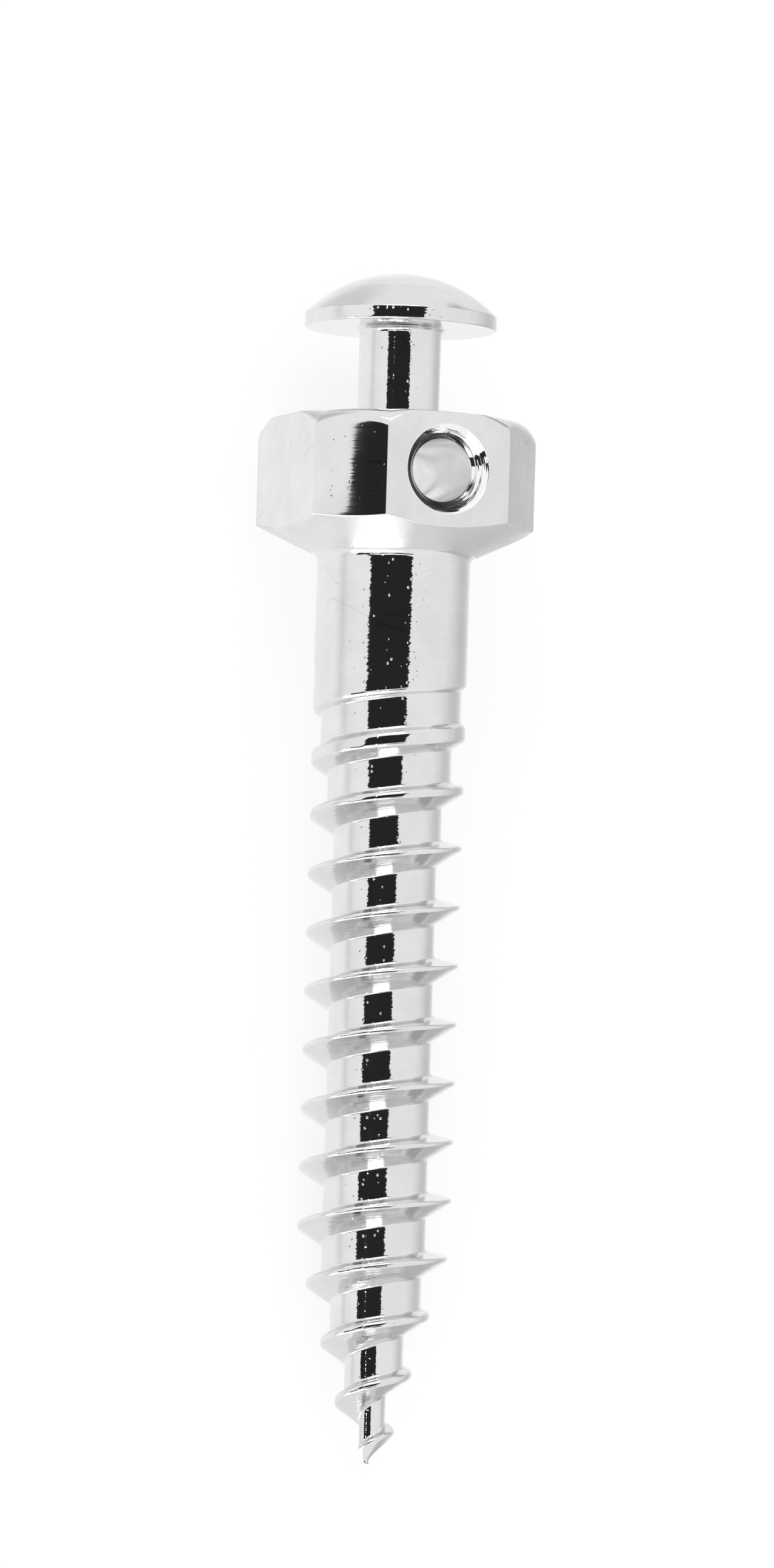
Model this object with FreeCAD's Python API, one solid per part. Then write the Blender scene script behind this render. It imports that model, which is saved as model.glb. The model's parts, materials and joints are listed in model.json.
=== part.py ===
# Bone micro screw, turned and milled from one piece of surgical steel. Lengths are millimetres.
# It is built upright, with its point at height 0 and its cross hole along X, and then laid down
# as it comes to rest: head towards +Y, cross hole upwards, the tapered end touching the table.
import FreeCAD, Part
import math
import os

V = FreeCAD.Vector
UP = V(0, 0, 1)

# Shank, point and collar
shank_radius = 1.0
thread_length = 10.35
collar_length = 1.48
collar_fillet = 0.12
taper_half_angle = 15.4
point_half_angle = 37.0
point_shoulder_radius = 0.335
point_flat_radius = 0.04

# Thread groove
pitch = 0.7656
thread_depth = 0.325
crest_land = 0.05
head_flank_angle = 12.0
point_flank_angle = 32.5
head_flank_fillet = 0.085
point_flank_fillet = 0.065
flats_per_fillet = 2
thread_start_angle = 91.0
root_taper_lag = 0.43
run_out_half_angle = 7.9
core_radius = 0.02

# Driving platform, a square with its corners milled off, and its cross hole
across_flats = 3.2
across_corner_flats = 3.5
facet_height = 1.5
underside_angle = 25.5
corner_chamfer = 0.18
corner_chamfer_angle = 45.0
bore_radius = 0.415
countersink_radius = 0.585
countersink_half_angle = 35.0

# Neck and button head
neck_radius = 0.535
neck_length = 1.216
neck_fillet = 0.09
head_radius = 1.255
head_rim_height = 0.18
dome_height = 0.54

# Spline points in one turn of the groove, and how far its tool reaches past the surface
points_per_turn = 24
overrun = 0.4 * crest_land


def tan(degrees):
    return math.tan(math.radians(degrees))


# Heights worked out from the sizes
point_top = (point_shoulder_radius - point_flat_radius) / tan(point_half_angle)
taper_top = point_top + (shank_radius - point_shoulder_radius) / tan(taper_half_angle)
shank_top = thread_length + collar_length
facet_bottom = shank_top + (across_flats / 2 - shank_radius) * tan(underside_angle)
platform_top = facet_bottom + facet_height
hole_height = facet_bottom + facet_height / 2
rim_bottom = platform_top + neck_length
rim_top = rim_bottom + head_rim_height
head_top = rim_top + dome_height

# Width of the groove's floor before its corners are rounded
groove_floor = pitch - crest_land - thread_depth * (tan(head_flank_angle) + tan(point_flank_angle))

# The corner where a main facet meets a milled-off corner
half_facet = across_corner_flats / math.sqrt(2) - across_flats / 2
corner_radius = math.hypot(across_flats / 2, half_facet)
chamfer_radius = corner_radius - corner_chamfer / tan(corner_chamfer_angle)


def arc(start, middle, end):
    return Part.Arc(start, middle, end).toShape()


def line(start, end):
    return Part.LineSegment(start, end).toShape()


def rounded_profile(corners, rounds):
    """A wire through corners, with the given fillet radius at each corner that has one."""
    edges = []
    start = corners[0]
    for index in range(1, len(corners)):
        corner = corners[index]
        radius = rounds.get(index, 0)
        if radius:
            to_back = (corners[index - 1] - corner).normalize()
            to_next = (corners[index + 1] - corner).normalize()
            half = to_back.getAngle(to_next) / 2
            reach = radius / math.tan(half)
            bisector = (to_back + to_next).normalize()
            middle = corner + bisector * (radius / math.sin(half) - radius)
            tangent = corner + to_back * reach
            after = corner + to_next * reach
            edges += [line(start, tangent), arc(tangent, middle, after)]
            start = after
        else:
            edges.append(line(start, corner))
            start = corner
    return edges


def turned_body():
    """The whole outline turned about the axis, with the platform still round."""
    outline = [
        V(0, 0, 0),
        V(point_flat_radius, 0, 0),
        V(point_shoulder_radius, 0, point_top),
        V(shank_radius, 0, taper_top),
        V(shank_radius, 0, shank_top),
        V(corner_radius, 0, shank_top + (corner_radius - shank_radius) * tan(underside_angle)),
        V(corner_radius, 0, platform_top - corner_chamfer),
        V(chamfer_radius, 0, platform_top),
        V(neck_radius, 0, platform_top),
        V(neck_radius, 0, rim_bottom),
        V(head_radius, 0, rim_bottom),
        V(head_radius, 0, rim_top),
    ]
    edges = rounded_profile(outline, {4: collar_fillet, 9: neck_fillet})
    dome_radius = (head_radius ** 2 + dome_height ** 2) / (2 * dome_height)
    half_angle = math.asin(head_radius / dome_radius) / 2
    over = V(dome_radius * math.sin(half_angle), 0, head_top - dome_radius * (1 - math.cos(half_angle)))
    edges.append(arc(outline[-1], over, V(0, 0, head_top)))
    edges.append(line(V(0, 0, head_top), V(0, 0, 0)))
    return Part.Face(Part.Wire(edges)).revolve(V(0, 0, 0), UP, 360)


def octagon_prism():
    """The milled facets, as a prism longer than the screw."""
    half = across_flats / 2
    corner = [V(half, -half_facet, 0), V(half, half_facet, 0)]
    points = []
    for quarter in range(4):
        turn = FreeCAD.Rotation(UP, 90 * quarter)
        points += [turn.multVec(point) for point in corner]
    face = Part.Face(Part.makePolygon(points + points[:1]))
    return face.extrude(UP * head_top)


def cross_hole():
    """The through hole along X with a countersink at each mouth, whose cones run on past the facets."""
    half = across_flats / 2
    depth = (countersink_radius - bore_radius) / tan(countersink_half_angle)
    outer_radius = countersink_radius + depth * tan(countersink_half_angle)
    outline = [
        V(-half - depth, 0, 0),
        V(-half - depth, 0, outer_radius),
        V(-half + depth, 0, bore_radius),
        V(half - depth, 0, bore_radius),
        V(half + depth, 0, outer_radius),
        V(half + depth, 0, 0),
    ]
    tool = Part.Face(Part.makePolygon(outline + outline[:1])).revolve(V(0, 0, 0), V(1, 0, 0), 360)
    tool.translate(V(0, 0, hole_height))
    return tool


def root_radius(height):
    """Radius of the groove's floor: it sinks with the taper and rises to the surface at its end."""
    full = shank_radius - thread_depth
    tapered = full - (taper_top - root_taper_lag - height) * tan(taper_half_angle)
    run_out = shank_radius - (thread_length - height) * tan(run_out_half_angle)
    return max(core_radius, min(full, tapered), run_out)


def half_section(angle, fillet):
    """Corners of half the groove's section, from outside the shank to the end of the flat floor.

    Each is a (radial, axial) offset from the middle of the floor, and a few flats make the fillet."""
    reach = thread_depth + overrun
    turn = math.radians(90 - angle)
    floor_end = groove_floor / 2 - fillet * math.tan(turn / 2)
    corners = [(reach, groove_floor / 2 + reach * tan(angle))]
    for flat in range(flats_per_fillet, -1, -1):
        swing = turn * flat / flats_per_fillet
        corners.append((fillet * (1 - math.cos(swing)), floor_end + fillet * math.sin(swing)))
    return corners


def groove_section():
    """Corners of the whole section in order: down the flank that faces the head, and up the other."""
    head_side = half_section(head_flank_angle, head_flank_fillet)
    point_side = half_section(point_flank_angle, point_flank_fillet)
    return [(radial, -axial) for radial, axial in head_side] + point_side[::-1]


def helix_row(offset, heights):
    """A cubic spline along the groove at one offset from the middle of its floor."""
    radial, axial = offset
    points = []
    for height in heights:
        angle = thread_start_angle + 360 * height / pitch
        spoke = FreeCAD.Rotation(UP, angle).multVec(V(root_radius(height) + radial, 0, 0))
        points.append(spoke + UP * (height + axial))
    curve = Part.BSplineCurve()
    curve.interpolate(Points=points, Parameters=heights)
    return curve


def stretch(row, low, high):
    """The part of a spline row between two heights, as an edge of its own."""
    piece = row.copy()
    piece.segment(low, high)
    return piece.toShape()


def groove():
    """The helical groove as one solid, with a ruled face for each turn of each side of its section."""
    section = groove_section()
    start = -max(axial for radial, axial in section) - overrun
    end = thread_length + overrun / tan(run_out_half_angle)
    turns = math.ceil((end - start) / pitch)
    count = turns * points_per_turn
    heights = [start + (end - start) * index / count for index in range(count + 1)]
    cuts = heights[::points_per_turn]
    rows = [helix_row(offset, heights) for offset in section]
    faces = []
    for level in (start, end):
        corners = [row.value(level) for row in rows]
        faces.append(Part.Face(Part.makePolygon(corners + corners[:1])))
    for row, next_row in zip(rows, rows[1:] + rows[:1]):
        for low, high in zip(cuts, cuts[1:]):
            edges = [stretch(row, low, high), stretch(next_row, low, high)]
            faces.append(Part.makeRuledSurface(*edges))
    shell = Part.makeShell(faces)
    shell.sewShape()
    return Part.Solid(shell)


def surface_radius(height):
    """Radius of the shank and its taper before the groove is cut."""
    return shank_radius - max(0, taper_top - height) * tan(taper_half_angle)


def rest_angle():
    """Slope of the screw on a table, from the platform's lower edge to the crest that touches."""
    lead = pitch * (180 - thread_start_angle) / 360
    below = groove_floor / 2 + thread_depth * tan(head_flank_angle) + crest_land
    slopes = []
    for turn in range(int(thread_length / pitch)):
        height = lead + turn * pitch - below
        drop = across_flats / 2 - surface_radius(height)
        slopes.append(drop / (facet_bottom - height))
    return math.degrees(math.atan(min(slopes)))


def laid_down(shape):
    """The screw on the table: its underside at height 0, in the middle of its own box."""
    shape.Placement = FreeCAD.Placement(
        V(0, 0, 0),
        FreeCAD.Rotation(V(1, 0, 0), rest_angle())
        * FreeCAD.Rotation(V(0, 0, 1), V(1, 0, 0), V(0, 1, 0), "XYZ"))
    box = shape.optimalBoundingBox()
    shape.translate(V(-box.Center.x, -box.Center.y, -box.ZMin))
    return shape


def bone_micro_screw():
    blank = turned_body().common(octagon_prism())
    drilled = blank.cut(cross_hole())
    threaded = drilled.cut(groove())
    return laid_down(threaded.Solids[0])


os.makedirs("parts", exist_ok=True)
screw = bone_micro_screw()
screw.exportStep("parts/bone_micro_screw.step")
print("bone_micro_screw", screw.isValid(), round(screw.Volume, 3), "mm3, faces", len(screw.Faces))
print("box", screw.optimalBoundingBox(), "rest angle", round(rest_angle(), 3))
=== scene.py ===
import json
import math
import bpy
import numpy as np
from mathutils import Matrix, Vector


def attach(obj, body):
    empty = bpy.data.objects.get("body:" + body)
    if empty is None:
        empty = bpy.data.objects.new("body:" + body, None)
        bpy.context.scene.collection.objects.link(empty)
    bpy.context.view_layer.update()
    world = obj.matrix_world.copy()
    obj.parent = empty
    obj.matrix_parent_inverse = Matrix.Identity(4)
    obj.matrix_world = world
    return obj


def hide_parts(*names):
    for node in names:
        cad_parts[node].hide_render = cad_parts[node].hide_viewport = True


# The screw is meshed upright, point down, with its cross hole along X and lengths in millimetres.
# It is then laid down in the frame, in metres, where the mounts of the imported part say.
MM = 0.001

# Shank, point and collar
shank_radius = 1.0
thread_length = 10.35
collar_length = 1.48
collar_fillet = 0.12
taper_half_angle = 15.4
point_half_angle = 37.0
point_shoulder_radius = 0.335
point_flat_radius = 0.04

# Thread groove
pitch = 0.7656
thread_depth = 0.325
crest_land = 0.05
crest_round = 0.029
crest_round_growth = 0.2
head_flank_angle = 12.0
point_flank_angle = 32.5
head_flank_fillet = 0.065
point_flank_fillet = 0.03
thread_start_angle = 91.0
root_taper_lag = 0.43
run_out_half_angle = 7.9
core_radius = 0.02

# Driving platform and its cross hole. facet_leans says how many degrees a facet leans, by its
# number round the octagon from the bored facet, and countersink_belly is a point of the funnel.
across_flats = 3.2
across_corner_flats = 3.5
facet_height = 1.5
underside_angle = 25.5
corner_chamfer = 0.18
least_chamfer = 0.025
chamfer_round_share = 0.48
facet_crown_radius = 20.0
facet_edge_round = 0.04
facet_leans = {7: 2.85}
bore_radius = 0.415
countersink_radius = 0.585
countersink_depth = 0.203
countersink_belly = (0.491, 0.094)
countersink_belly_round = 1.25

# Neck and button head
neck_radius = 0.535
neck_length = 1.216
neck_fillet = 0.09
head_radius = 1.255
head_rim_height = 0.18
dome_height = 0.54

# Small rounds that polishing leaves on the edges
edge_round = 0.025
rim_round = 0.03
hole_edge_round = 0.015
bore_edge_round = 0.005

# Mesh density
facet_columns = {"bored": 24, "bare": 18, "corner": 10}
edge_columns = 4
fillet_rows = 5
flank_rows = 3
crest_rows = 4
wall_rows = 24
dome_rows = 24
bore_rows = 8
bottom_turn, top_turn = -2, 15
weld_step = 1e-5


def tan(degrees):
    return math.tan(math.radians(degrees))


# Heights worked out from the sizes
point_top = (point_shoulder_radius - point_flat_radius) / tan(point_half_angle)
taper_top = point_top + (shank_radius - point_shoulder_radius) / tan(taper_half_angle)
shank_top = thread_length + collar_length
facet_bottom = shank_top + (across_flats / 2 - shank_radius) * tan(underside_angle)
platform_top = facet_bottom + facet_height
hole_height = facet_bottom + facet_height / 2
rim_bottom = platform_top + neck_length
rim_top = rim_bottom + head_rim_height
head_top = rim_top + dome_height
thread_top = thread_length + 0.1

half_facet = across_corner_flats / math.sqrt(2) - across_flats / 2
half_corner_facet = (across_flats / 2 - half_facet) / math.sqrt(2)
corner_radius = math.hypot(across_flats / 2, half_facet)
chamfer_radius = corner_radius - corner_chamfer
groove_floor = pitch - crest_land - thread_depth * (tan(head_flank_angle) + tan(point_flank_angle))


# Columns of the mesh, one for each point round the platform's outline

def crown(along):
    """How far a facet's polished face falls back at this distance from its middle."""
    return along ** 2 / (2 * facet_crown_radius)


def facet_points(facet):
    """Points along one facet of the octagon, from one rounded edge to the next."""
    corner_facet = facet % 2 == 1
    distance = (across_corner_flats if corner_facet else across_flats) / 2
    half = half_corner_facet if corner_facet else half_facet
    kind = "corner" if corner_facet else ("bored" if facet % 4 == 0 else "bare")
    half -= facet_edge_round * tan(22.5)
    along = np.linspace(-half, half, facet_columns[kind] + 1)
    out = distance - crown(along) - along * tan(facet_leans.get(facet, 0))
    turn = math.radians(45 * facet)
    x = out * math.cos(turn) - along * math.sin(turn)
    y = out * math.sin(turn) + along * math.cos(turn)
    return np.stack([x, y], -1)


def platform_outline():
    """The platform's outline as points, and the number of the point where each facet starts."""
    facets = [facet_points(facet) for facet in range(8)]
    points = []
    starts = []
    for facet in range(8):
        starts.append(len(points))
        points += list(facets[facet])
        last, first = facets[facet][-1], facets[(facet + 1) % 8][0]
        turn = math.radians(45 * facet)
        way = np.array([-math.sin(turn), math.cos(turn)])
        corner = last + way * facet_edge_round * tan(22.5)
        for step in range(1, edge_columns):
            points.append(conic(last, corner, first, step / edge_columns, math.radians(45)))
    return np.array(points), starts


def conic(start, corner, end, part, turn):
    """A point on the round arc from start to end, whose tangents there meet at corner."""
    weight = np.cos(turn / 2)
    first, middle, last = (1 - part) ** 2, 2 * part * (1 - part) * weight, part ** 2
    return (first * start + middle * corner + last * end) / (first + middle + last)


# The threaded shank

def blank_radius(height):
    """Radius of the shank, its taper and its point before the groove is cut."""
    return np.interp(height, [0, point_top, taper_top],
                     [point_flat_radius, point_shoulder_radius, shank_radius])


def blank_slope(height):
    """How fast that radius grows with height."""
    slope = np.where(height < taper_top, tan(taper_half_angle), 0.0)
    return np.where(height < point_top, tan(point_half_angle), slope)


def root_radius(height):
    """Radius of the groove's floor: it sinks with the taper and rises to the surface at its end."""
    full = shank_radius - thread_depth
    tapered = full - (taper_top - root_taper_lag - height) * tan(taper_half_angle)
    run_out = shank_radius - (thread_length - height) * tan(run_out_half_angle)
    return np.maximum(core_radius, np.maximum(np.minimum(full, tapered), run_out))


def half_groove(middle, side, angle, fillet):
    """Rows of half the groove, from the end of its floor out to the land.

    A row is an array of (radius, height), and middle holds the height of the floor's middle, for
    each column and turn."""
    turn = math.radians(90 - angle)
    arc_length = fillet * turn
    floor_end = groove_floor / 2 - fillet * math.tan(turn / 2)
    root = root_radius(middle)

    def place(length):
        swing = np.minimum(length / fillet, turn)
        rest = np.maximum(length - arc_length, 0)
        radial = fillet * (1 - np.cos(swing)) + rest * math.sin(turn)
        axial = floor_end + fillet * np.sin(swing) + rest * math.cos(turn)
        return root + radial, middle + side * axial

    low = np.zeros_like(middle)
    high = low + arc_length + 1.5 * thread_depth / math.sin(turn)
    for halving in range(40):
        half = (low + high) / 2
        radius, height = place(half)
        inside = radius < blank_radius(height)
        low, high = np.where(inside, half, low), np.where(inside, high, half)
    corner = np.stack(place(low))
    swing = np.minimum(low / fillet, turn)
    up_flank = np.stack([np.sin(swing), side * np.cos(swing)])
    along_land = np.stack([side * blank_slope(corner[1]), np.full_like(middle, side)])
    along_land /= np.linalg.norm(along_land, axis=0)
    bend = np.arccos(np.clip((up_flank * along_land).sum(0), -1, 1))
    shallow = np.clip(thread_depth - (corner[0] - root), 0, thread_depth)
    rounding = crest_round + crest_round_growth * shallow
    reach = np.minimum(rounding * np.tan(bend / 2), low / 2)
    flank_end = low - reach
    rows = [np.stack(place(np.minimum(arc_length * step / fillet_rows, flank_end)))
            for step in range(fillet_rows + 1)]
    straight = np.maximum(flank_end - arc_length, 0)
    for step in range(1, flank_rows + 1):
        length = np.minimum(arc_length, flank_end) + straight * step / flank_rows
        rows.append(np.stack(place(length)))
    crest_start = rows[-1]
    land_start = corner + along_land * reach
    for step in range(1, crest_rows + 1):
        rows.append(conic(crest_start, corner, land_start, step / crest_rows, bend))
    return rows


def shank_rows(azimuths):
    """The shank's rows of (radius, height) for each column, from the point up to thread_top.

    A row follows the thread, so it joins the row one turn further on when it has gone round."""
    turns = np.arange(bottom_turn, top_turn + 1)
    middle = pitch * ((azimuths[:, None] - thread_start_angle) / 360 + turns[None, :])
    below = half_groove(middle, -1, head_flank_angle, head_flank_fillet)
    above = half_groove(middle, 1, point_flank_angle, point_flank_fillet)
    land = np.stack([np.zeros_like(middle), above[-1][1]])
    land[1, :, :-1] = (above[-1][1][:, :-1] + below[-1][1][:, 1:]) / 2
    rows = np.stack(below[::-1] + above + [land])
    per_turn = len(rows)
    rows = rows.transpose(2, 3, 0, 1).reshape(len(azimuths), -1, 2)
    heights = rows[..., 1]
    radii = blank_radius(heights)
    on_land = np.arange(rows.shape[1]) % per_turn == per_turn - 1
    radii[:, ~on_land] = np.minimum(rows[..., 0], radii)[:, ~on_land]
    for column in range(len(azimuths)):
        start = np.interp(0, heights[column], radii[column])
        radii[column, heights[column] < 0] = start
    heights = np.clip(heights, 0, thread_top)
    flank_start = per_turn // 2 + fillet_rows
    flank = range(flank_start, flank_start + flank_rows)
    zones = ["flank" if row % per_turn in flank else "thread" for row in range(rows.shape[1] - 1)]
    return np.stack([radii, heights], -1), zones, per_turn


# The turned outline above the thread

def rounded_rows(first, stations):
    """Rows of (radius, height) from first through rounded corners, and the zone of each step.

    A station is a corner, its rounding radius and steps, and the zone and steps that lead to it."""
    corners = [first] + [station[0] for station in stations]
    rows = [first]
    zones = []
    for index, (corner, radius, arc_steps, zone, steps) in enumerate(stations, 1):
        arc = []
        end = corner
        if arc_steps:
            back, ahead = corners[index - 1] - corner, corners[index + 1] - corner
            back = back / np.linalg.norm(back, axis=-1, keepdims=True)
            ahead = ahead / np.linalg.norm(ahead, axis=-1, keepdims=True)
            bend = math.pi - np.arccos(np.clip((back * ahead).sum(-1, keepdims=True), -1, 1))
            reach = radius * np.tan(bend / 2)
            end = corner + back * reach
            arc = [conic(end, corner, corner + ahead * reach, step / arc_steps, bend)
                   for step in range(1, arc_steps + 1)]
        start = rows[-1]
        rows += [start + (end - start) * step / steps for step in range(1, steps + 1)] + arc
        zones += [zone] * (steps + len(arc))
    return rows, zones


def upper_rows(outline_radii):
    """The rows above the thread: collar, platform, neck and button head.

    Returns them with the zone of each step, and the number of the row where the facets start."""
    across = outline_radii
    same = np.ones_like(across)

    def at(radius, height):
        return np.stack([radius * same, height * same], -1)

    chamfer = np.maximum(across - chamfer_radius, least_chamfer)
    wall_bottom = shank_top + (across - shank_radius) * tan(underside_angle)
    dome_radius = (head_radius ** 2 + dome_height ** 2) / (2 * dome_height)
    dome_centre = head_top - dome_radius
    rim_angle = math.asin(head_radius / dome_radius)
    tangent = at(head_radius - math.cos(rim_angle), rim_top + math.sin(rim_angle))
    chamfer_round = chamfer[:, None] * chamfer_round_share * math.sqrt(2) / tan(22.5)
    stations = [
        (at(shank_radius, shank_top), collar_fillet, 8, "turned", 6),
        (at(across, wall_bottom), edge_round, 4, "coned", 5),
        (at(across, platform_top - chamfer), chamfer_round, 6, "milled", wall_rows),
        (at(across - chamfer, platform_top), chamfer_round, 6, "turned", 1),
        (at(neck_radius, platform_top), edge_round, 3, "turned", 5),
        (at(neck_radius, rim_bottom), neck_fillet, 8, "turned", 6),
        (at(head_radius, rim_bottom), rim_round, 4, "turned", 6),
        (at(head_radius, rim_top), rim_round, 4, "turned", 2),
        (tangent, 0, 0, "dome", 1),
    ]
    rows, zones = rounded_rows(at(shank_radius, thread_top), stations)
    rows.pop()
    zones.pop()
    reach = math.asin(rows[-1][0, 0] / dome_radius)
    for angle in np.linspace(reach, 0, dome_rows + 1)[1:]:
        rows.append(at(dome_radius * math.sin(angle),
                       dome_centre + dome_radius * math.cos(angle)))
        zones.append("dome")
    wall_start = zones.index("milled")
    return np.stack(rows, 1), zones, wall_start


# The mesh

class Skin:
    """Collects points, and faces with the zone that each one belongs to."""

    def __init__(self):
        self.points = []
        self.count = 0
        self.faces = []
        self.zones = []

    def add_points(self, points):
        """Adds an array of points and returns an array of their numbers, in the same layout."""
        points = np.asarray(points, float)
        self.points.append(points.reshape(-1, 3))
        numbers = self.count + np.arange(len(self.points[-1])).reshape(points.shape[:-1])
        self.count += len(self.points[-1])
        return numbers

    def add_grid(self, left, right, zones):
        """Faces between two columns of point numbers."""
        faces = np.stack([left[:-1], right[:-1], right[1:], left[1:]], -1)
        self.faces.append(faces)
        self.zones += [zones] * len(faces) if isinstance(zones, str) else list(zones)

    def welded(self):
        """Points with doubles merged, and faces without the corners that fell together."""
        points = np.concatenate(self.points)
        faces = np.concatenate(self.faces)
        _, first, numbers = np.unique(np.round(points / weld_step).astype(np.int64), axis=0,
                                      return_index=True, return_inverse=True)
        numbers = numbers.reshape(-1)[faces]
        kept, zones = [], []
        for face, zone in zip(numbers.tolist(), self.zones):
            corners = [corner for spot, corner in enumerate(face) if corner != face[spot - 1]]
            if len(corners) > 2 and len(set(corners)) == len(corners):
                kept.append(corners)
                zones.append(zone)
        used = sorted({corner for face in kept for corner in face})
        place = {corner: spot for spot, corner in enumerate(used)}
        return points[first][used], [[place[corner] for corner in face] for face in kept], zones


def turned_points(azimuths, rows):
    """(radius, height) rows for each column, set out round the axis."""
    angles = np.radians(azimuths)[:, None]
    radii, heights = rows[..., 0], rows[..., 1]
    return np.stack([radii * np.cos(angles), radii * np.sin(angles), heights], -1)


def add_shank(skin, azimuths):
    rows, zones, per_turn = shank_rows(azimuths)
    numbers = skin.add_points(turned_points(azimuths, rows))
    for column in range(len(azimuths) - 1):
        skin.add_grid(numbers[column], numbers[column + 1], zones)
    skin.add_grid(numbers[-1, :-per_turn], numbers[0, per_turn:], zones[:-per_turn])
    middle = skin.add_points([[0.0, 0.0, 0.0]])
    ring = np.append(numbers[:, 0], numbers[0, 0])
    skin.add_grid(np.repeat(middle, len(ring)), ring, "thread")


def bored_facet(skin, numbers, coordinates, side):
    """Faces from the edge of a bored facet in to the rim of its countersink, and the countersink.

    numbers and coordinates are the facet's own block of the grid. Returns the ring at the bore."""
    edge = [(0, row) for row in range(wall_rows)]
    edge += [(column, wall_rows) for column in range(facet_columns["bored"])]
    edge += [(facet_columns["bored"], row) for row in range(wall_rows, 0, -1)]
    edge += [(column, 0) for column in range(facet_columns["bored"], 0, -1)]
    columns, rows = np.array(edge).T
    ring, places = numbers[columns, rows], coordinates[columns, rows]
    angles = np.arctan2(places[:, 2] - hole_height, places[:, 1])
    order = np.argsort(angles)
    ring, places, angles = ring[order], places[order], angles[order]
    away = np.stack([np.cos(angles), np.sin(angles)], -1)
    centre = np.array([0, hole_height])

    def ring_at(across, depth):
        flat = centre + across
        out = side * (across_flats / 2 - depth - crown(across[:, 0]))
        return np.concatenate([out[:, None], flat], -1)

    depth = countersink_depth
    rim_start = np.array([[countersink_radius + hole_edge_round / 2, 0.0]])
    profile, profile_zones = rounded_rows(rim_start, [
        (np.array([[countersink_radius, 0.0]]), hole_edge_round, 3, "countersunk", 1),
        (np.array([countersink_belly]), countersink_belly_round, 8, "countersunk", 1),
        (np.array([[bore_radius, depth]]), bore_edge_round, 3, "countersunk", 3),
        (np.array([[bore_radius, 2 * depth]]), 0, 0, "drilled", 1),
    ])
    rim = away * profile[0][0, 0]
    border = places[:, 1:] - centre
    rings = [ring]
    for step in (0.25, 0.5, 0.75, 1.0):
        rings.append(skin.add_points(ring_at(border + (rim - border) * step, 0.0)))
    zones = ["milled"] * 4
    for point in profile[1:]:
        rings.append(skin.add_points(ring_at(away * point[0, 0], point[0, 1])))
    zones += profile_zones
    rings = np.stack(rings, 1)
    for left, right in zip(rings, np.roll(rings, -1, axis=0)):
        skin.add_grid(left, right, zones)
    return rings[:, -1], away * bore_radius


def add_upper(skin, azimuths, outline, starts):
    rows, zones, wall_start = upper_rows(np.hypot(*outline.T))
    points = turned_points(azimuths, rows)
    numbers = skin.add_points(points)
    bored = {}
    for facet in (0, 4):
        bored[facet] = slice(starts[facet], starts[facet] + facet_columns["bored"] + 1)
    wall = slice(wall_start, wall_start + wall_rows)
    for column in range(len(azimuths)):
        left, right = numbers[column], numbers[(column + 1) % len(azimuths)]
        if any(block.start <= column < block.stop - 1 for block in bored.values()):
            skin.add_grid(left[:wall.start + 1], right[:wall.start + 1], zones[:wall.start])
            skin.add_grid(left[wall.stop:], right[wall.stop:], zones[wall.stop:])
        else:
            skin.add_grid(left, right, zones)
    ends = []
    for facet, side in ((0, 1), (4, -1)):
        block = (bored[facet], slice(wall.start, wall.stop + 1))
        ring, around = bored_facet(skin, numbers[block], points[block], side)
        ends.append(ring)
    half_bore = across_flats / 2 - 2 * countersink_depth
    rings = [ends[0]]
    for part in np.linspace(1, -1, bore_rows + 1)[1:-1]:
        out = np.full(len(around), part * half_bore)
        ring = np.stack([out, around[:, 0], around[:, 1] + hole_height], -1)
        rings.append(skin.add_points(ring))
    rings = np.stack(rings + [ends[1]], 1)
    for left, right in zip(rings, np.roll(rings, -1, axis=0)):
        skin.add_grid(left, right, "drilled")


def smooth_normals(points, faces, zones):
    """Normals weighted by the area of the faces round each point, as true as lathe work.

    On turned zones they stay in the plane through the axis, and on the thread they follow its
    lead. A point between two zones takes the freer rule of the two: 1 thread, 2 turned, 3 any."""
    corners = np.array([face if len(face) == 4 else face + face[-1:] for face in faces])
    places = points[corners]
    areas = np.cross(places[:, 2] - places[:, 0], places[:, 3] - places[:, 1])
    normals = np.zeros_like(points)
    for place in range(4):
        used = corners[:, place] != corners[:, place - 1]
        np.add.at(normals, corners[used, place], areas[used])
    kinds = {"thread": 1, "flank": 1, "turned": 2, "coned": 2, "dome": 2}
    kind = np.array([kinds.get(zone, 3) for zone in zones])
    highest = np.zeros(len(points), int)
    for place in range(4):
        np.maximum.at(highest, corners[:, place], kind)
    radius = np.maximum(np.hypot(points[:, 0], points[:, 1]), core_radius)
    spoke = points[:, :2] / radius[:, None]
    outward = (normals[:, :2] * spoke).sum(1)
    lead = pitch / (2 * math.pi)
    around = np.where(highest == 1, -normals[:, 2] * lead / radius, 0)
    turned = np.stack([outward * spoke[:, 0] - around * spoke[:, 1],
                       outward * spoke[:, 1] + around * spoke[:, 0], normals[:, 2]], -1)
    normals = np.where((highest < 3)[:, None], turned, normals)
    return normals / np.linalg.norm(normals, axis=1, keepdims=True)


def screw_mesh(placement, zone_names):
    outline, starts = platform_outline()
    azimuths = np.unwrap(np.arctan2(outline[:, 1], outline[:, 0]))
    azimuths = np.degrees(azimuths)
    skin = Skin()
    add_shank(skin, azimuths)
    add_upper(skin, azimuths, outline, starts)
    points, faces, zones = skin.welded()
    turn = np.array(placement.to_3x3())
    normals = smooth_normals(points, faces, zones) @ turn.T
    places = points * MM @ turn.T + np.array(placement.translation)
    mesh = bpy.data.meshes.new("micro_screw")
    mesh.from_pydata(places.tolist(), [], faces)
    mesh.polygons.foreach_set("material_index", [zone_names.index(zone) for zone in zones])
    mesh.shade_smooth()
    mesh.normals_split_custom_set_from_vertices(normals.tolist())
    mesh.update()
    return mesh


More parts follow.
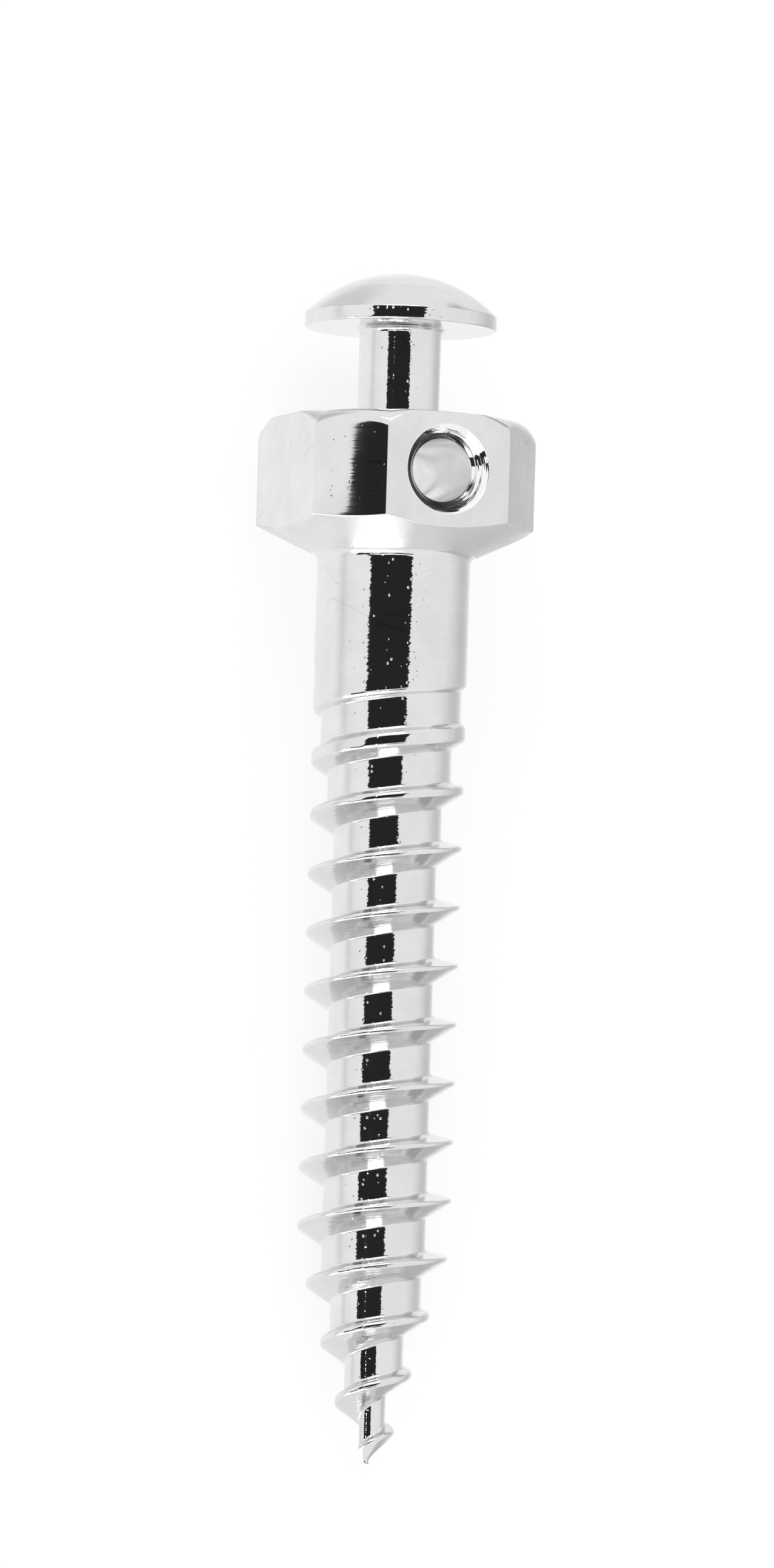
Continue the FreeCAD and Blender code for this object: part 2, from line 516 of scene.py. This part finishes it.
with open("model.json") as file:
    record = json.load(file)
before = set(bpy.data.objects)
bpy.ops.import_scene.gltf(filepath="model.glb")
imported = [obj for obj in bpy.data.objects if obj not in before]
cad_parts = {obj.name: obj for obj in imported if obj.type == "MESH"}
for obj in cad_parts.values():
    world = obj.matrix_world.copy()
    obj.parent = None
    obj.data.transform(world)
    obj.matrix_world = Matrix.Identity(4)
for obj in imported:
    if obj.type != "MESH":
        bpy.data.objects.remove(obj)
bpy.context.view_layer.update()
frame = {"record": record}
mounts = {mount["name"]: mount for mount in frame["record"]["mounts"]}
axis = Vector(mounts["head_neck"]["axis"]).normalized()
hole_way = Vector(mounts["cross_hole"]["axis"]).normalized()
side_way = axis.cross(hole_way)
point_place = Vector(mounts["cross_hole"]["pos_m"]) - axis * hole_height * MM
turned = Matrix((hole_way, side_way, axis)).transposed()
placement = Matrix.LocRotScale(point_place, turned.to_quaternion(), None)


# Materials

class Graph:
    """A node tree that nodes are added to, each fed by values or by other nodes' sockets."""

    def __init__(self, tree):
        self.tree = tree

    def feed(self, socket, value):
        if isinstance(value, bpy.types.NodeSocket):
            self.tree.links.new(value, socket)
        elif value is not None:
            socket.default_value = value

    def node(self, kind, *inputs, named=(), output=0, **settings):
        node = self.tree.nodes.new("ShaderNode" + kind)
        for name, value in settings.items():
            setattr(node, name, value)
        for socket, value in zip(node.inputs, inputs):
            self.feed(socket, value)
        for name, value in dict(named).items():
            self.feed(node.inputs[name], value)
        return node.outputs[output]

    def math(self, operation, *values):
        return self.node("Math", *values, operation=operation)

    def vector(self, operation, *values):
        output = "Value" if operation in ("DOT_PRODUCT", "LENGTH") else "Vector"
        return self.node("VectorMath", *values, operation=operation, output=output)

    def scaled(self, vector, *factors):
        return self.vector("MULTIPLY", vector, factors)

    def step(self, value, low, high, start=0.0, end=1.0):
        """A smooth step from start to end while value goes from low to high."""
        return self.node("MapRange", value, low, high, start, end, interpolation_type="SMOOTHSTEP")

    def mixed(self, value, other, share):
        """The value, moved towards the other by a share of the way."""
        missing = self.math("SUBTRACT", other, value)
        return self.math("ADD", value, self.math("MULTIPLY", share, missing))

    def noise(self, vector, scale, detail=2.0, roughness=0.5):
        return self.node("TexNoise", named={"Vector": vector, "Scale": scale, "Detail": detail,
                                            "Roughness": roughness})


def screw_place(graph, about_hole=False):
    """The shaded point in millimetres, upright, or turned so that the cross hole runs up."""
    point = graph.node("TexCoord", output="Object")
    point = graph.node("Mapping", point, tuple(placement.translation), tuple(placement.to_euler()),
                       (MM, MM, MM), vector_type="TEXTURE")
    if about_hole:
        point = graph.vector("SUBTRACT", point, (0, 0, hole_height))
        point = graph.node("Mapping", point, None, (0, math.radians(-90), 0), vector_type="POINT")
    return point


# The millimetres that a mark with a depth of 1 would be deep
mark_height = 0.1
pit_cells_per_mm = 11.0


def steel(name, colour=0.8, roughness=0.05, grain=26.0, length=0.12, depth=0.5, pits=0.6,
          pit_depth=0.03, pit_darkening=0.0, smudge=0.01, hairs=0.0, helical=False, about_hole=False,
          flat=False):
    """Polished steel with the fine marks of its cutting, which run round the screw or its hole.

    grain is the number of marks in a millimetre, length how long one is, and depth how deep.
    pits is the share of small spots with a pit, pit_depth its depth and pit_darkening how much
    darker its colour is.
    smudge is how much the tone varies along the marks, and hairs how dark the hair scratches are.
    The marks follow the thread if helical, go round the hole if about_hole, and lie level if
    flat."""
    material = bpy.data.materials.new("steel_" + name)
    material.use_nodes = True
    graph = Graph(material.node_tree)
    shader = material.node_tree.nodes["Principled BSDF"]
    shader.inputs["Metallic"].default_value = 1.0
    point = screw_place(graph, about_hole)
    x, y, z = (graph.node("SeparateXYZ", point, output=way) for way in range(3))
    flat_point = graph.node("CombineXYZ", x, y, 0.0)
    radius = graph.vector("LENGTH", flat_point)
    if helical:
        angle = graph.math("ARCTAN2", y, x)
        run = graph.math("SUBTRACT", z, graph.math("MULTIPLY", angle, pitch / (2 * math.pi)))
        run = graph.math("ADD", run, radius)
    elif flat:
        run = z
    else:
        run = graph.math("ADD", z, radius)
    along = graph.node("CombineXYZ", 0.0, 0.0, run)
    marks = graph.vector("ADD", graph.scaled(flat_point, 1 / length, 1 / length, 0),
                         graph.scaled(along, 0, 0, grain))
    fine = graph.noise(marks, 1.0, 1.0, 0.4)
    coarse = graph.noise(graph.scaled(marks, 0.5, 0.5, 0.25), 1.0, 1.0)
    height = graph.math("MULTIPLY", fine, 0.6 * depth / grain)
    height = graph.math("ADD", height, graph.math("MULTIPLY", coarse, 1.2 * depth / grain))
    cells = graph.tree.nodes.new("ShaderNodeTexVoronoi")
    graph.feed(cells.inputs["Vector"], point)
    cells.inputs["Scale"].default_value = pit_cells_per_mm
    chance = graph.node("SeparateColor", cells.outputs["Color"])
    pit = graph.step(cells.outputs["Distance"], 0.22, 0.03)
    pit = graph.math("MULTIPLY", pit, graph.step(chance, 1 - pits, 1.0))
    height = graph.math("SUBTRACT", height, graph.math("MULTIPLY", pit, pit_depth))
    bump = graph.node("Bump", named={"Strength": 1.0, "Distance": mark_height * MM,
                                     "Height": height})
    graph.feed(shader.inputs["Normal"], bump)
    cloud = graph.noise(point, 1.6, 6.0, 0.6)
    tone = graph.step(cloud, 0.3, 0.7, 0.96 * colour, 1.03 * colour)
    streaks = graph.scaled(point, 6.0, 6.0, 2.5) if flat else graph.scaled(marks, 0.3, 0.3, 0.3)
    brushed = graph.noise(streaks, 1.0)
    tone = graph.math("MULTIPLY", tone, graph.step(brushed, 0.3, 0.7, 1 - smudge, 1 + smudge))
    line = graph.math("ABSOLUTE", graph.math("SUBTRACT", graph.noise(point, 1.3, 0.5), 0.5))
    hair = graph.step(line, 0.005, 0.002)
    hair = graph.math("MULTIPLY", hair, graph.step(graph.noise(point, 1.7, 0.0), 0.6, 0.66))
    # The colour is darker in pits and along hair scratches.
    for dark, share in ((pit, pit_darkening), (hair, hairs)):
        kept = graph.math("SUBTRACT", 1.0, graph.math("MULTIPLY", dark, share))
        tone = graph.math("MULTIPLY", tone, kept)
    graph.feed(shader.inputs["Base Color"], graph.node("CombineColor", tone, tone, tone))
    rough = graph.step(cloud, 0.35, 0.65, 1.25 * roughness, 0.8 * roughness)
    graph.feed(shader.inputs["Roughness"], rough)
    return material


# Settings for each zone of the screw: the finishes of its steel, with painted shade in the flank's
# darker colour and painted light in the countersink's brighter colour.
finishes_and_painted_light = {
    "thread": dict(helical=True, pits=0.8, pit_depth=0.04),
    # The flank's colour, darker than the rest of the steel, is painted shade for the deep groove
    # between the turns.
    "flank": dict(helical=True, colour=0.76, roughness=0.13, depth=0.7, length=0.8),
    "turned": dict(pits=0.8, pit_depth=0.04, hairs=0.15),
    "coned": dict(roughness=0.36, depth=0.7, length=0.3),
    "milled": dict(flat=True, colour=0.79, roughness=0.035, length=0.4, depth=0.06, pits=0.7,
                   pit_depth=0.003, pit_darkening=0.2, smudge=0.02, hairs=0.3),
    # The countersink's colour, brighter than the rest of the steel, is painted light.
    "countersunk": dict(about_hole=True, colour=0.97, grain=16.0, length=1.2, depth=1.6, pits=0.0),
    "drilled": dict(about_hole=True, colour=0.88, roughness=0.22, grain=14.0, depth=0.1, pits=0.0),
    "dome": dict(roughness=0.1, length=0.8, pits=0.4, pit_depth=0.01, pit_darkening=0.3, smudge=0.05,
                 hairs=0.15),
}
zone_names = list(finishes_and_painted_light)
mesh = screw_mesh(placement, zone_names)
for zone in zone_names:
    mesh.materials.append(steel(zone, **finishes_and_painted_light[zone]))
screw = bpy.data.objects.new("micro_screw", mesh)
bpy.context.scene.collection.objects.link(screw)
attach(screw, "root")
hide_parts("bone_micro_screw")


# Camera, at the photograph's viewing angle

photo_width, photo_height = 1272, 2576
photo_pixels_per_mm = 126.0
camera_distance = 260.0
camera_azimuth = -25.0
camera_drop = 5.3
camera_roll = 1.71
sensor_long_side = 36.0
axis_pixel_x, axis_pixel_y = 643.9, 1024.0
axis_pixel_height = 10.977


def screw_way(azimuth, rise=0.0):
    """A unit direction in the frame, from its azimuth round the screw and rise to the head."""
    a, e = math.radians(azimuth), math.radians(rise)
    return turned @ Vector((math.cos(a) * math.cos(e), math.sin(a) * math.cos(e), math.sin(e)))


def add_camera():
    camera = bpy.data.objects.new("camera", bpy.data.cameras.new("camera"))
    bpy.context.scene.collection.objects.link(camera)
    bpy.context.scene.camera = camera
    back = screw_way(camera_azimuth, -camera_drop)
    up = screw_way(camera_azimuth, 90 - camera_drop)
    right = up.cross(back)
    roll = math.radians(camera_roll)
    rolled_right = right * math.cos(roll) + up * math.sin(roll)
    rolled_up = up * math.cos(roll) - right * math.sin(roll)
    aim = Vector((0, 0, axis_pixel_height))
    across = (axis_pixel_x - photo_width / 2) / photo_pixels_per_mm
    above = -(axis_pixel_y - photo_height / 2) / photo_pixels_per_mm
    place = point_place + turned @ aim * MM
    place -= rolled_right * across * MM + rolled_up * above * MM - back * camera_distance * MM
    camera.matrix_world = Matrix.LocRotScale(
        place, Matrix((rolled_right, rolled_up, back)).transposed().to_quaternion(), None)
    camera.data.sensor_width = sensor_long_side
    camera.data.lens = photo_pixels_per_mm * camera_distance / photo_height * sensor_long_side
    camera.data.clip_start = 0.01
    camera.data.clip_end = 20


add_camera()


# Studio

# The tent as polished steel sees it, in degrees from the camera towards the right of the picture:
# brightness by direction round the screw, and soft zones (direction, rise, reach, fade, level).
# Towards both ends of the screw the brightness goes over to tent_end between two rises.
tent_ring = [
    (-180, 0.97), (-160, 0.95), (-145, 0.98), (-130, 1.0), (-96, 1.0), (-88, 0.9), (-80, 0.78),
    (-75, 0.86), (-68, 0.93), (-50, 0.97), (40, 0.93), (90, 0.92), (100, 0.86), (110, 0.78),
    (120, 0.69), (130, 0.64), (142, 0.67), (155, 0.8), (168, 0.9), (180, 0.97),
]
tent_end = 0.95
tent_end_rises = (22, 42)
tent_zones = [
    (-132, 46, 8, 30, 0.76),
    (-102, 52, 6, 22, 0.62),
    (119, 47, 11, 17, 0.52),
    (152, -36, 12, 30, 0.56),
]


def add_world():
    world = bpy.data.worlds.new("tent")
    bpy.context.scene.world = world
    world.use_nodes = True
    graph = Graph(world.node_tree)
    way = graph.node("TexCoord", output="Generated")
    front = graph.vector("DOT_PRODUCT", way, tuple(screw_way(camera_azimuth)))
    across = graph.vector("DOT_PRODUCT", way, tuple(screw_way(camera_azimuth + 90)))
    turn = graph.math("ARCTAN2", across, front)
    turn = graph.math("ADD", graph.math("MULTIPLY", turn, 1 / (2 * math.pi)), 0.5)
    ramp = graph.tree.nodes.new("ShaderNodeValToRGB")
    graph.feed(ramp.inputs["Fac"], turn)
    stops = ramp.color_ramp.elements
    for stop, (direction, level) in enumerate(tent_ring):
        place = direction / 360 + 0.5
        if stop in (0, len(tent_ring) - 1):
            element = stops[0 if stop == 0 else len(stops) - 1]
            element.position = place
        else:
            element = stops.new(place)
        element.color = (level, level, level, 1)
    glow = graph.node("SeparateColor", ramp.outputs["Color"])
    rise = graph.math("ABSOLUTE", graph.vector("DOT_PRODUCT", way, tuple(axis)))
    far = graph.step(rise, *(math.sin(math.radians(end)) for end in tent_end_rises))
    glow = graph.mixed(glow, tent_end, far)
    for direction, rise, reach, fade, level in tent_zones:
        middle = tuple(screw_way(camera_azimuth + direction, rise))
        nearness = graph.vector("DOT_PRODUCT", way, middle)
        share = graph.step(nearness, math.cos(math.radians(fade)), math.cos(math.radians(reach)))
        glow = graph.mixed(glow, level, share)
    mirrored = graph.node("LightPath", output="Is Glossy Ray")
    dimming = graph.math("MULTIPLY", mirrored, graph.math("SUBTRACT", 1.0, glow))
    background = world.node_tree.nodes["Background"]
    background.inputs["Color"].default_value = (1, 1, 1, 1)
    graph.feed(background.inputs["Strength"], graph.math("SUBTRACT", 1.0, dimming))


def add_floor():
    """A pale floor that the camera sees as nearly white, with the screw's shadow on it."""
    half = 3.0
    corners = [(-half, -half, 0), (half, -half, 0), (half, half, 0), (-half, half, 0)]
    mesh = bpy.data.meshes.new("floor")
    mesh.from_pydata(corners, [], [(0, 1, 2, 3)])
    floor = bpy.data.objects.new("floor", mesh)
    bpy.context.scene.collection.objects.link(floor)
    material = bpy.data.materials.new("floor")
    material.use_nodes = True
    graph = Graph(material.node_tree)
    shader = material.node_tree.nodes["Principled BSDF"]
    shader.inputs["Base Color"].default_value = (0.95, 0.95, 0.95, 1)
    shader.inputs["Roughness"].default_value = 0.9
    seen = graph.node("LightPath", output="Is Camera Ray")
    surface = graph.node("MixShader", graph.math("MULTIPLY", seen, 0.8), shader.outputs["BSDF"],
                         graph.node("Emission"))
    graph.feed(material.node_tree.nodes["Material Output"].inputs["Surface"], surface)
    mesh.materials.append(material)
    floor.visible_glossy = False


def add_card(name, direction, distance, corners, level):
    """A card that only reflections see, at a distance from the axis.

    Its corners are (across, height) in millimetres, and its level is how bright it is."""
    out, across = screw_way(camera_azimuth + direction), screw_way(camera_azimuth + direction + 90)
    mesh = bpy.data.meshes.new(name)
    mesh.from_pydata(
        [point_place + (out * distance + across * x + axis * z) * MM for x, z in corners],
        [], [tuple(range(len(corners)))])
    card = bpy.data.objects.new(name, mesh)
    bpy.context.scene.collection.objects.link(card)
    material = bpy.data.materials.new(name)
    material.use_nodes = True
    shader = material.node_tree.nodes["Principled BSDF"]
    shader.inputs["Base Color"].default_value = (0, 0, 0, 1)
    shader.inputs["Roughness"].default_value = 1.0
    shader.inputs["Specular IOR Level"].default_value = 0.0
    shader.inputs["Emission Color"].default_value = (1, 1, 1, 1)
    shader.inputs["Emission Strength"].default_value = level
    mesh.materials.append(material)
    card.visible_camera = False
    card.visible_diffuse = False
    card.visible_shadow = False


def add_lamp(name, direction, rise, distance, width, height, level):
    """A soft box that faces the screw, with the given brightness."""
    lamp = bpy.data.lights.new(name, "AREA")
    lamp.shape = "RECTANGLE"
    lamp.size, lamp.size_y = width * MM, height * MM
    lamp.energy = level * math.pi * lamp.size * lamp.size_y
    out = screw_way(camera_azimuth + direction, rise)
    across = screw_way(camera_azimuth + direction + 90)
    place = point_place + axis * lamp_aim_height * MM + out * distance * MM
    box = bpy.data.objects.new(name, lamp)
    box.matrix_world = Matrix.LocRotScale(
        place, Matrix((across, out.cross(across), out)).transposed().to_quaternion(), None)
    box.visible_camera = False
    bpy.context.scene.collection.objects.link(box)


# The dark opening at the camera leans to the left at its foot. Below it are a bright sheet and a
# dark gap, which at the left runs up to the foot of the opening. The glints make the bright dots
# on the dark stripes, where a mark or pit turns towards one of them. Lengths are millimetres.
lamp_aim_height = 9.0
dark = 0.02
opening_distance = 100.0
opening_left, opening_right = -74.0, 50.0
opening_low, opening_high = -8.0, 45.0
opening_middle = 17.0
opening_lean = 0.72
gap_distance = 90.0
gap_left, gap_right = -66.0, 52.0
gap_low, gap_high = -55.0, -27.0
left_gap_end, left_gap_low = -150.0, -75.0
sheet_left, sheet_right = -72.0, 15.0
sheet_level = 1.3
glint_direction = -16.6
glint_distance = 92.0
glint_half = 1.2
glint_heights = [35.0, 29.5, 4.5, -1.0]
glint_level = 12.0


def card_corners(left, right, low, high, lean=0.0):
    """Corners of an upright card. With a lean its top goes right and its foot left."""
    sides = [(left, low), (right, low), (right, high), (left, high)]
    return [(side + (height - opening_middle) * lean, height) for side, height in sides]


add_world()
add_floor()
add_card("camera_opening", 0, opening_distance, card_corners(
    opening_left, opening_right, opening_low, opening_high, opening_lean), dark)
add_card("lower_gap", 0, gap_distance, card_corners(
    gap_left, gap_right, gap_low, gap_high), dark)
add_card("left_gap", 0, gap_distance, card_corners(
    left_gap_end, gap_left, left_gap_low, opening_low), dark)
add_card("front_sheet", 0, opening_distance, card_corners(
    sheet_left, sheet_right, gap_high, opening_low), sheet_level)
for number, height in enumerate(glint_heights):
    add_card("glint_%d" % number, glint_direction, glint_distance, card_corners(
        -glint_half, glint_half, height - glint_half, height + glint_half), glint_level)
add_lamp("soft_box_low", -38, -51, 100.0, 120.0, 76.0, 1.8)
add_lamp("soft_box_high", 0, 44, 100.0, 62.0, 44.0, 2.5)

bpy.context.scene.view_settings.view_transform = "Standard"
